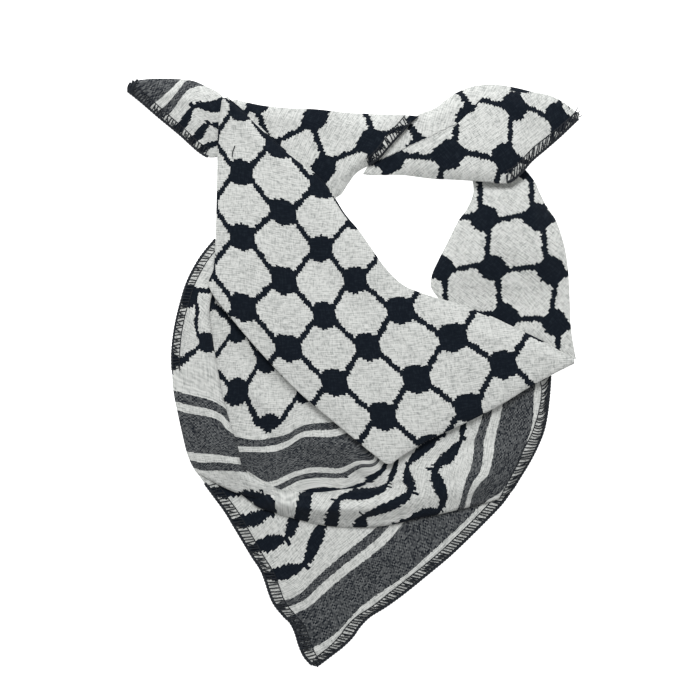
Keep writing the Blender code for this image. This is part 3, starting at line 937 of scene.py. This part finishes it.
def leaf_rows(s, t, t_smooth):
    """Rows of joined leaves, which lean one way and the other, with a short foot at each joint."""
    row = formula("ROUND", (t_smooth - LEAF_FIRST_ROW) / LEAF_ROW_PITCH)
    in_rows = (row > -0.5) * (row < LEAF_ROWS - 0.5)
    place = s / LEAF_LENGTH
    cell = formula("FLOOR", place)
    along = (place - cell - 0.5) * LEAF_LENGTH
    from_row = t - LEAF_FIRST_ROW - row * LEAF_ROW_PITCH
    middle = (zigzag(cell) * 2.0 - 1.0) * along * LEAF_SLOPE
    swell = 1.0 - formula("POWER", magnitude(along) / (LEAF_LENGTH / 2), 2.0)
    leaf = magnitude(from_row - middle) < swell * (LEAF_HALF - LEAF_END_HALF) + LEAF_END_HALF
    joint = formula("ROUND", place)
    foot_along = magnitude((place - joint) * LEAF_LENGTH) < FOOT_HALF
    foot_t = from_row * (1.0 - zigzag(joint) * 2.0)
    foot_across = (foot_t > FOOT_FROM) * (foot_t < FOOT_REACH)
    return either(leaf, foot_along * foot_across) * in_rows


def white_weave(s, t, ribs, picks, specks):
    """White cotton, shaded between its threads and unevenly over the cloth."""
    clouds = noise_at(place_at(s / CLOUD_SIZE, t / CLOUD_SIZE, 1.0), 3.0)
    rib_lines = formula("SINE", t * (2 * pi / RIB_PITCH)) * 0.13
    shade = rib_lines + (ribs - 0.5) * 1.1 + (picks - 0.5) * 1.8 + (clouds - 0.5) * 0.5 + specks * 0.4 + 0.27
    return blend_colours(clamp(shade), WHITE_COTTON, SHADED_COTTON)


def grey_weave(s, t):
    """White flecks on black, over a fine chequer."""
    thread_s = formula("FLOOR", s / THREAD)
    thread_t = formula("FLOOR", t / THREAD)
    chequer = zigzag(thread_s + thread_t)
    twill = zigzag((thread_s + thread_t * 2.0) / 2.0)
    fleck = (chequer + twill) * 0.35 + dice_at(place_at(thread_s, thread_t)) * 0.9 - 0.35
    return blend_colours(clamp(fleck) * 0.5, BLACK_COTTON, FLECK_WHITE)


def keffiyeh():
    """Woven cotton with the traditional lattice, leaf rows and stripes, in the cloth's flat coordinates."""
    material, shader = new_material("keffiyeh_cotton")
    cloth = Term.tree.nodes.new("ShaderNodeUVMap")
    cloth.uv_map = "cloth"
    split = Term.tree.nodes.new("ShaderNodeSeparateXYZ")
    plug(Term(cloth.outputs["UV"]), split.inputs[0])
    s, t = (Term(split.outputs[k]) * (1 / MM) for k in (0, 1))

    drift = (noise_at(place_at(s / DRIFT_LENGTH, t / DRIFT_LENGTH)) - 0.5) * DRIFT
    s_thread = steps_of(s, TOOTH)
    t_jitter = dice(s_thread * 0.917) - 0.5
    s_jitter = dice(steps_of(t, TOOTH) * 0.731) - 0.5
    s_ragged = steps_of(s + drift + s_jitter * 0.5, TOOTH)
    t_ragged = steps_of(t + drift + t_jitter * 0.8, TOOTH)
    leaves = leaf_rows(s_ragged + drift, t_ragged + (dice(s_thread * 0.613) - 0.5), t)
    black = either(lattice_of(s_ragged, t_ragged), leaves)
    t_edge = t + t_jitter * 0.5
    stripes = 0.0
    for low, high in GREY_STRIPES:
        stripes = either(stripes, (t_edge > low) * (t_edge < high))

    ribs = noise_at(place_at(s / THREAD, t / RIB_LENGTH, 2.0), 1.0)
    picks = noise_at(place_at(s / PICK_LENGTH, t / THREAD, 5.0), 1.0)
    specks = noise_at(place_at(s / SPECK_WIDTH, t / SPECK_LENGTH, 9.0), 1.0) > SPECK_FROM
    wear = clamp((ribs * 0.5 + picks * 0.5 - 0.48) * 3.0)
    colour = blend_colours(stripes, white_weave(s, t, ribs, picks, specks), grey_weave(s, t))
    colour = blend_colours(black, colour, blend_colours(wear, BLACK_COTTON, WORN_BLACK))
    plug(colour, shader.inputs["Base Color"])
    plug(0.82 + (ribs - 0.5) * 0.12, shader.inputs["Roughness"])
    shader.inputs["Specular IOR Level"].default_value = 0.08
    shader.inputs["Sheen Weight"].default_value = 0.03
    shader.inputs["Sheen Roughness"].default_value = 0.6

    waves = formula("SINE", s * (2 * pi / THREAD)) + formula("SINE", t * (2 * pi / THREAD))
    weave = waves * 0.3 + (ribs + picks) * 0.9 - specks * 0.7 + black * 0.5
    add_bump(shader, weave, 0.5, WEAVE_DEPTH)
    return material


def thread():
    """Black spun polyester thread with a fine twist."""
    material, shader = new_material("black_overlock_thread")
    place = Term.tree.nodes.new("ShaderNodeTexCoord")
    stretch = Term.tree.nodes.new("ShaderNodeMapping")
    stretch.inputs["Scale"].default_value = (FIBRES_A_METRE,) * 3
    plug(Term(place.outputs["Object"]), stretch.inputs["Vector"])
    fibre = noise_at(Term(stretch.outputs[0]), 2.0)
    worn = clamp((fibre - 0.42) * 4.0)
    plug(blend_colours(worn, BLACK_THREAD, WORN_THREAD), shader.inputs["Base Color"])
    plug(0.62 + fibre * 0.2, shader.inputs["Roughness"])
    shader.inputs["Specular IOR Level"].default_value = 0.25
    shader.inputs["Sheen Weight"].default_value = 0.05
    add_bump(shader, fibre, 0.6, FIBRE_DEPTH)
    return material


cotton = keffiyeh()
serge = thread()

front_map = warp(lattice_marks(FRONT_KNOTS))
right_map = warp(lattice_marks(RIGHT_KNOTS))
tail_map = warp(lattice_marks(TAIL_KNOTS))
back_map = warp(lattice_marks(BACK_KNOTS))

CREASE_LEFT = (373, 163)
CREASE_RIGHT = (402, 150)
FRONT_SET_BACK = 1.0


def whole_tail_map(points):
    """The right tail's own layer: the front one's pattern below the crease, else the back one's."""
    crease_left, crease_right = at(CREASE_LEFT, CREASE_RIGHT)
    slope = (crease_right[1] - crease_left[1]) / (crease_right[0] - crease_left[0])
    below = points[:, 1] < crease_left[1] + slope * (points[:, 0] - crease_left[0])
    return np.where(below[:, None], tail_map(points), back_map(points))


top_map = warp(lattice_marks(TOP_KNOTS))
left_tail_map = warp(LEFT_TAIL_MARKS)
point_map = warp(POINT_MARKS)
roll_map = warp(ROLL_MARKS)
field_map = warp(FIELD_MARKS)
cowl_map = warp(COWL_MARKS)

front = folded_stretch("front_band_cloth", FRONT_BAND, 2, 2, FRONT_CREASES, front_map, FRONT_SET_BACK)[0]
right = folded_stretch("right_band_cloth", RIGHT_BAND, 2, 2, RIGHT_CREASES, right_map)[0]
top, top_rings = folded_stretch("top_band_cloth", TOP_BAND, 1, 2, TOP_CREASES, top_map)
tail = folded_stretch("right_tail_cloth", RIGHT_TAIL, 2, 2, TAIL_CREASES, whole_tail_map)[0]
left, left_rings = folded_stretch("left_tail_cloth", LEFT_TAIL, 2, 1, LEFT_TAIL_CREASES, left_tail_map)


def flap_grid():
    """The right tail's upper layer, on the tail's own crown."""
    rows = smooth_rows(RIGHT_TAIL, STEPS)[FLAP_FIRST_SECTION * STEPS :]
    reaches = smooth_rows([[reach] for reach in FLAP_REACH], STEPS)[:, 0]
    grid = []
    for row, reach in zip(rows, reaches):
        section = Fold(*row)
        edge_a = np.array([section.ax, section.ay])
        across = np.array([section.bx, section.by]) - edge_a
        shares = np.linspace(FLAP_START, reach, FLAP_POINTS)
        plan = edge_a + across * shares[:, None]
        edge_top = edge_profile(section.rise, 2, 0.0)[-1][1]
        base = section.base_a + (section.base_b - section.base_a) * shares
        lift = section.rise - edge_top + relief(plan, TAIL_CREASES) + ripple(plan)
        height = base + edge_top + lift * crown(shares) + FLAP_CLEARANCE + CLOTH
        away = (reach - shares) * np.linalg.norm(across)
        height -= FLAP_EDGE_DROP * (1 - np.clip(away / FLAP_EDGE_WIDTH, 0.0, 1.0)) ** 2
        grid.append(np.column_stack([plan, height]))
    return np.array(grid)


flap_points = flap_grid()
flap = thin_sheet("right_tail_flap_cloth", flap_points, tail_map(flap_points.reshape(-1, 3)[:, :2]))


def plan_of(pixels, places, steps, shares):
    """Places at shares of a smooth curve through pixels that lie at shares of their own."""
    curve = smooth_rows(np.column_stack([places, np.reshape(pixels, (-1, 2))]), steps)
    return at(*np.column_stack([np.interp(shares, curve[:, 0], curve[:, k]) for k in (1, 2)]))


def hang_grid():
    """The bib's upper cloth: rows run from its lower lip to its tuck, and columns from left to right."""
    below = np.linspace(PAST_LIP, VALLEY_AT, ROWS_BELOW_VALLEY)
    above = np.linspace(VALLEY_AT, 1.0, ROWS_ABOVE_VALLEY)[1:]
    shares = np.concatenate([NEAR_LIP, below, above])
    columns = []
    for row in smooth_rows(HANG, STEPS):
        section = Hang(*row)
        plan = plan_of(row[: 2 * len(HANG_AT)], HANG_AT, HANG_CURVE_STEPS, shares)
        depth = min(1.0, (section.roll - section.valley) / 3.0)
        shoulder = section.valley + (section.roll - section.valley) * SHOULDER_SHARE * depth
        clear = min(section.field, section.edge) - EDGE_CLEARANCE * depth
        heights = [section.lip, section.roll, shoulder, section.valley, section.field, clear, section.edge]
        height = np.empty(len(shares))
        for n, share in enumerate(shares):
            i = min(int(np.searchsorted(HANG_HEIGHT_AT, share, side="right")) - 1, len(heights) - 2)
            step = (share - HANG_HEIGHT_AT[i]) / (HANG_HEIGHT_AT[i + 1] - HANG_HEIGHT_AT[i])
            height[n] = heights[i] + (heights[i + 1] - heights[i]) * smooth_step(step)
        away = np.linalg.norm(plan - plan[0], axis=1)
        height = height - (section.lip - ON_POINT - LIP_CLEARANCE) * rounded(away, LIP_RADIUS)
        fade = np.clip(away / HANG_FADE, 0, 1) * np.clip((HANG_FADE_STOP - shares) / HANG_FADE_SHARE, 0, 1)
        height = height + (relief(plan, DRAPE_CREASES) + ripple(plan)) * fade
        columns.append(np.column_stack([plan, height]))
    return np.array(columns).transpose(1, 0, 2), shares


hang_points, hang_shares = hang_grid()


def hang_pieces():
    """The cowl below the valley and the field above it, which share the valley's row of points."""
    cut = int(np.argmin(abs(hang_shares - VALLEY_AT)))
    start, stop = at(BLEND_FROM, BLEND_TO)[:, 0]
    pieces = []
    for name, part, own in (
        ("bib_cowl_cloth", hang_points[: cut + 1], cowl_map),
        ("bib_field_cloth", hang_points[cut:], field_map),
    ):
        plan = part.reshape(-1, 3)[:, :2]
        both = (cowl_map(plan) + field_map(plan)) / 2
        share = smooth_step((plan[:, 0] - start) / (stop - start))[:, None]
        pieces.append(thin_sheet(name, part, own(plan) * (1 - share) + both * share))
    return pieces


cowl, field = hang_pieces()


def roll_grid():
    """The soft roll at the bib's left: rows run upwards, and columns from its cut edge to its crease."""
    shares = np.concatenate([np.linspace(0.0, 0.9, ROLL_COLUMNS), 1 - np.array(NEAR_CREASE)])
    grid = []
    for row in smooth_rows(ROLL, STEPS):
        section = Roll(*row)
        plan = plan_of(row[: 2 * len(ROLL_AT)], ROLL_AT, ROLL_CURVE_STEPS, shares)
        from_crease = smooth_step((1 - shares) / (1 - ROLL_CROWN_AT))
        rising = section.low + (section.crown - section.low) * smooth_step(shares / ROLL_CROWN_AT)
        falling = section.crease + (section.crown - section.crease) * from_crease
        height = np.where(shares < ROLL_CROWN_AT, rising, falling)
        away = np.linalg.norm(plan - plan[-1], axis=1)
        height = height - max(section.crease - UNDER_BAND, LEAST_TURN) * rounded(away, CREASE_RADIUS)
        fade = np.clip(shares / ROLL_EDGE_FADE, 0, 1) * np.clip(away / ROLL_CREASE_FADE, 0, 1)
        height = height + (relief(plan, ROLL_CREASES) + ripple(plan)) * fade
        grid.append(np.column_stack([plan, height]))
    grid = np.array(grid)
    from_foot = np.linalg.norm(grid[:, :, :2] - grid[0, :, :2], axis=2)
    from_side = np.linalg.norm(grid[:, :, :2] - grid[:, :1, :2], axis=2)
    for distance, radius, level in ((from_foot, FOOT_RADIUS, ON_POINT), (from_side, SIDE_RADIUS, CLOTH)):
        grid[:, :, 2] -= rounded(distance, radius) * np.clip(grid[:, :, 2] - level - LIP_CLEARANCE, 0, None)
    return grid


roll_points = roll_grid()
roll = thin_sheet("bib_roll_cloth", roll_points, roll_map(roll_points.reshape(-1, 3)[:, :2]))


def point_grid():
    """The bottom point: rows run up from its corner, and the last ones lie flat under the drape."""
    shares = np.linspace(0.0, 1.0, POINT_COLUMNS)
    grid = []
    for row in smooth_rows(POINT, STEPS):
        section = Point(*row)
        left_end, right_end = at((section.lx, section.ly), (section.rx, section.ry))
        plan = left_end + (right_end - left_end) * shares[:, None]
        away = np.minimum(shares, 1 - shares) * np.linalg.norm(right_end - left_end)
        fade = np.clip(away / POINT_FADE, 0, 1)
        height = CLOTH + np.clip(relief(plan, POINT_CREASES) + ripple(plan) + POINT_LIFT, 0, None) * fade
        grid.append(np.column_stack([plan, height]))
    grid = np.array(grid)
    covered = grid[-POINT_ROWS_COVERED * STEPS :, :, 2]
    np.minimum(covered, CLOTH + LIP_CLEARANCE, out=covered)
    return grid


point_points = point_grid()
point = thin_sheet("bib_point_cloth", point_points, point_map(point_points.reshape(-1, 3)[:, :2]))


def folded_strips(rings, first_row, last_row, outermost):
    """Strips from the fold edge's outermost point of its top layer, over the crown."""
    return rings[first_row:last_row, outermost : outermost + STRIP_POINTS]


def slanted_strips(rings, first_row, last_row, outermost):
    """Strips at right angles to a slanted end of a fold, laid on the fold's top."""
    path = rings[first_row:last_row, outermost]
    along = np.gradient(path[:, :2], axis=0)
    along /= np.linalg.norm(along, axis=1, keepdims=True)
    inward = np.column_stack([-along[:, 1], along[:, 0]])
    top = rings[:, outermost + ARC_POINTS // 2 : outermost + TOP_POINTS].reshape(-1, 3)
    strips = []
    for place, direction in zip(path, inward):
        strip = []
        for distance in np.linspace(0.0, SLANT_REACH, STRIP_POINTS):
            plan = place[:2] + direction * distance
            near = np.exp(-((top[:, :2] - plan) ** 2).sum(1) / SLANT_SOFTNESS) + 1e-12
            strip.append((plan[0], plan[1], (near * top[:, 2]).sum() / near.sum()))
        strips.append(strip)
    return np.array(strips)


STRIP_POINTS = 34
SLANT_REACH = 8.0
SLANT_SOFTNESS = 0.8
POINT_ROWS_SHOWING = 14
ROLL_ROWS_TURNED = 8
HANG_SHOWN = 80
TOP_LAYER_OF_TWO = ARC_POINTS + 1 + ARC_POINTS // 2
TOP_LAYER_OF_ONE = ARC_POINTS // 2
ROLL_SEWN = 5.0
RIGHT_SEWN = 8.6
LEFT_TAIL_SEWN = 5.6
TOP_SEWN = 5.2
POINT_COLUMNS_SEWN = 60
ROLL_COLUMNS_SEWN = 30
HANG_COLUMNS_SEWN = 40
SECTIONS_SEWN = 5
TOP_SEWN_FROM = 8 * STEPS - 3
TOP_SEWN_TO = 10 * STEPS + 1
shown_point = point_points[: (POINT_ROWS_SHOWING - 1) * STEPS]

sewn_point_left = overlock("stitches_point_left", shown_point[:, :POINT_COLUMNS_SEWN])
sewn_point_right = overlock("stitches_point_right", shown_point[:, :-POINT_COLUMNS_SEWN:-1])
shown_roll = roll_points[ROLL_ROWS_TURNED * STEPS :, :ROLL_COLUMNS_SEWN]
sewn_roll = overlock("stitches_bib_left", shown_roll, ROLL_SEWN)
shown_hang = hang_points[:HANG_SHOWN, :-HANG_COLUMNS_SEWN:-1]
sewn_right = overlock("stitches_bib_right", shown_hang, RIGHT_SEWN)
sewn_tail = overlock("stitches_right_tail", flap_points[SECTIONS_SEWN * STEPS :])
shown_left = folded_strips(left_rings, 0, SECTIONS_SEWN * STEPS, TOP_LAYER_OF_TWO)
sewn_left = overlock("stitches_left_tail", shown_left, LEFT_TAIL_SEWN)
shown_top = slanted_strips(top_rings, TOP_SEWN_FROM, TOP_SEWN_TO, TOP_LAYER_OF_ONE)
sewn_top = overlock("stitches_top_band", shown_top, TOP_SEWN)

# Loose threads, in pixels with heights in millimetres: three places along each.
Strand = namedtuple("Strand", "x0 y0 z0 x1 y1 z1 x2 y2 z2")
FRAYED = table(
    Strand,
    (566, 120, 5, 570, 112, 5.6, 568, 107, 4.6), (568, 120, 5, 575, 114, 5.4, 577, 108, 4.2),
    (570, 122, 4.8, 577, 118, 5.2, 582, 116, 4), (568, 117, 5, 573, 117, 5.8, 579, 112, 4.8),
)
LOOSE = [Strand(236, 147, 10.6, 233, 152, 11.2, 233, 158, 10.4)]
TIP = table(
    Strand,
    (129, 93, 1.6, 127, 88, 2.8, 131, 83, 2.4), (131, 94, 2.4, 129, 88, 3.6, 134, 82, 3),
    (133, 95, 2.8, 131, 89, 4, 137, 83, 3.6), (128, 90, 1.8, 132, 88, 3.6, 130, 84, 2.6),
    (130, 92, 2, 135, 88, 4.2, 133, 81, 2.8), (134, 92, 3, 133, 86, 4.2, 138, 80, 3.2),
)
STRAND_RADIUS = 0.28
STRAND_POINTS = 9
STRAND_SIDES = 6
TIP_RADIUS = 0.62


def strands(name, rows, radius=STRAND_RADIUS):
    parts = []
    for row in rows:
        ends = at((row.x0, row.y0), (row.x1, row.y1), (row.x2, row.y2))
        curve = curve_of(np.column_stack([ends, (row.z0, row.z1, row.z2)]), STRAND_POINTS)
        parts.append(tube(curve, radius, STRAND_SIDES))
    return join_parts(name, parts)


frayed = strands("frayed_threads", FRAYED)
loose = strands("loose_thread", LOOSE)
tip = strands("left_tail_tip_threads", TIP, TIP_RADIUS)

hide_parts("front_band")
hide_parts("right_band")
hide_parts("top_band")
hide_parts("right_tail")
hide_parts("right_tail_flap")
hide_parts("left_tail")
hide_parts("bib_drape")
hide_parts("bib_drape")
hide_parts("bib_drape")
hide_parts("bib_point")

# Floor, camera straight above and soft studio light, brightest from beyond the tails, in metres and watts.
FLOOR_SIZE = 6.0
FLOOR_Z = -0.0004
FLOOR_COLOUR = (0.93, 0.93, 0.93, 1.0)
FLOOR_GLOW = 0.85
CAMERA_HEIGHT = 1.6
PICTURE_PIXELS = 700
MIDDLE = (350.0, 350.0)
SENSOR = 36.0
SKY_STRENGTH = 0.48
Lamp = namedtuple("Lamp", "name x y z size power")
LAMPS = table(Lamp, ("key", -0.05, 0.9, 1.1, 0.6, 16.5), ("fill", 0.6, -0.6, 1.6, 1.6, 1.0))


def floor_plane():
    half = FLOOR_SIZE / 2
    mesh = bpy.data.meshes.new("studio_floor")
    corners = [(-half, -half, 0.0), (half, -half, 0.0), (half, half, 0.0), (-half, half, 0.0)]
    mesh.from_pydata(corners, [], [(0, 1, 2, 3)])
    material, shader = new_material("studio_floor")
    shader.inputs["Base Color"].default_value = FLOOR_COLOUR
    shader.inputs["Roughness"].default_value = 1.0
    shader.inputs["Emission Color"].default_value = (1.0, 1.0, 1.0, 1.0)
    shader.inputs["Emission Strength"].default_value = FLOOR_GLOW
    mesh.materials.append(material)
    plane = bpy.data.objects.new("studio_floor", mesh)
    plane.location.z = FLOOR_Z
    bpy.context.scene.collection.objects.link(plane)


def area_light(row):
    light = bpy.data.lights.new(row.name, "AREA")
    light.size = row.size
    light.energy = row.power
    lamp = bpy.data.objects.new(row.name, light)
    lamp.location = (row.x, row.y, row.z)
    lamp.rotation_euler = (-lamp.location).to_track_quat("-Z", "Y").to_euler()
    bpy.context.scene.collection.objects.link(lamp)


def studio():
    scene = bpy.context.scene
    floor_plane()
    camera = bpy.data.cameras.new("camera")
    camera.sensor_width = SENSOR
    camera.lens = SENSOR * CAMERA_HEIGHT / (PICTURE_PIXELS * PIXEL * MM)
    eye = bpy.data.objects.new("camera", camera)
    middle = at(MIDDLE)[0] * MM
    eye.location = (middle[0], middle[1], CAMERA_HEIGHT)
    scene.collection.objects.link(eye)
    scene.camera = eye
    for row in LAMPS:
        area_light(row)
    world = bpy.data.worlds.new("studio")
    world.use_nodes = True
    background = world.node_tree.nodes["Background"]
    background.inputs["Color"].default_value = (1.0, 1.0, 1.0, 1.0)
    background.inputs["Strength"].default_value = SKY_STRENGTH
    scene.world = world
    scene.view_settings.view_transform = "Standard"


studio()
